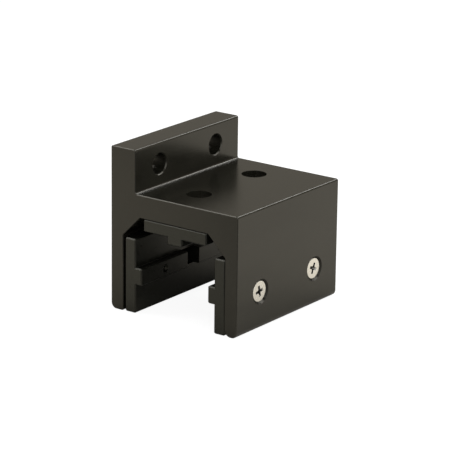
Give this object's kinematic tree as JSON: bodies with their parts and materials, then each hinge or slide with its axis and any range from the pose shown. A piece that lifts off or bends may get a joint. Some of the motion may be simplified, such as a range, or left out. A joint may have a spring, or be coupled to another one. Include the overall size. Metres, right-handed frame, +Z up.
{
  "type": "flanged linear bearing",
  "caption": "Flanged saddle bearing of extruded aluminium with ribbed low-friction pads that slide along a square T-slot profile.",
  "frame": {"origin": "on the floor under the feet, at the middle of the overall width and length", "axes": "+Z up, +Y along the travel, +X from the flange towards the plain leg"},
  "size_m": [0.061, 0.0672, 0.0663],
  "materials": {
    "dark_anodised": "satin dark bronze anodised",
    "black_pad": "matte machined low-friction plastic",
    "nickel_screw": "bright nickel plate",
    "zinc_washer": "zinc plate"
  },
  "bodies": {
    "root": {"bearing_body": "dark_anodised", "left_pad": "black_pad", "right_pad": "black_pad", "ceiling_pad": "black_pad", "left_pad_screw_near": "nickel_screw", "left_pad_screw_far": "nickel_screw", "right_pad_screw_near": "nickel_screw", "right_pad_screw_far": "nickel_screw", "ceiling_pad_screw_near": "nickel_screw", "ceiling_pad_screw_far": "nickel_screw", "shim_washer_near": "zinc_washer", "shim_washer_far": "zinc_washer"}
  },
  "joints": []
}
